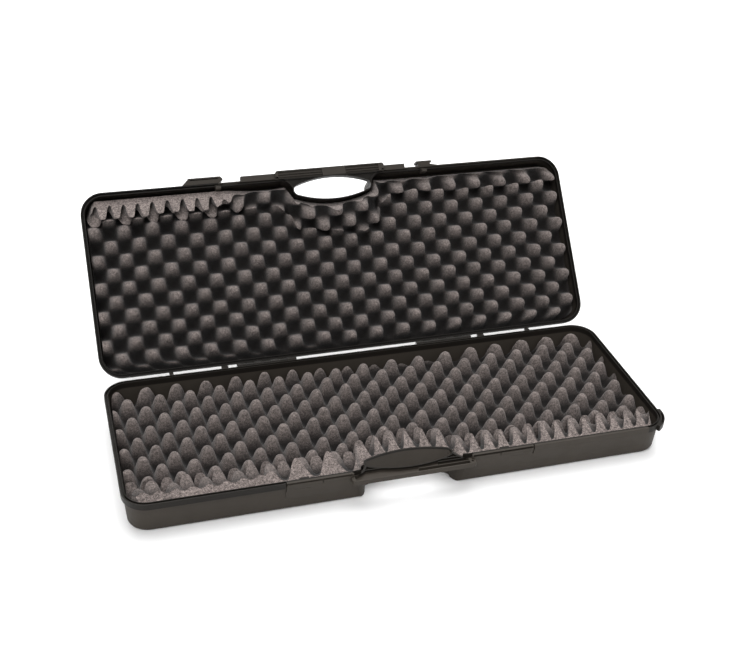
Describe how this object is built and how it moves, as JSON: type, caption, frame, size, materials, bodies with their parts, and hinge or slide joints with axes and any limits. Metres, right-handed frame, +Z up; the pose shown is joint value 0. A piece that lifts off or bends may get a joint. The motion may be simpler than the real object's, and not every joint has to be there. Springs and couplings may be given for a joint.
{
  "type": "rod case",
  "caption": "Hard clam-shell rod case shown open, with convoluted foam pads, a moulded two-part carry handle, two sliding latches and two rear hinges",
  "frame": {"origin": "centre of the tray's underside, on the surface the case lies on", "axes": "+X along the case, +Y toward the hinge at the back, +Z up; the handle is at -Y"},
  "size_m": [0.9555, 0.618, 0.3359],
  "materials": {
    "shell_plastic": "charcoal moulded plastic with a fine grain and a satin sheen",
    "latch_plastic": "black moulded plastic, a little glossier than the shells",
    "foam": "charcoal open-cell convoluted foam",
    "pin_steel": "plain drawn steel wire"
  },
  "bodies": {
    "base": {"base_shell": "shell_plastic", "base_foam": "foam", "hinge_pin_left": "pin_steel", "hinge_pin_right": "pin_steel"},
    "lid": {"lid_shell": "shell_plastic", "lid_foam": "foam"},
    "latch_left": {"latch_left": "latch_plastic"},
    "latch_right": {"latch_right": "latch_plastic"}
  },
  "joints": [
    {"name": "lid_hinge", "type": "hinge", "parent": "base", "child": "lid", "pos_m": [0, 0.1771, 0.0587], "axis": [1, 0, 0], "range_deg": [0, 130.5]},
    {"name": "latch_left_slide", "type": "slide", "parent": "lid", "child": "latch_left", "axis": [1, 0, 0], "range_m": [0, 0.034]},
    {"name": "latch_right_slide", "type": "slide", "parent": "lid", "child": "latch_right", "axis": [-1, 0, 0], "range_m": [0, 0.025]}
  ]
}
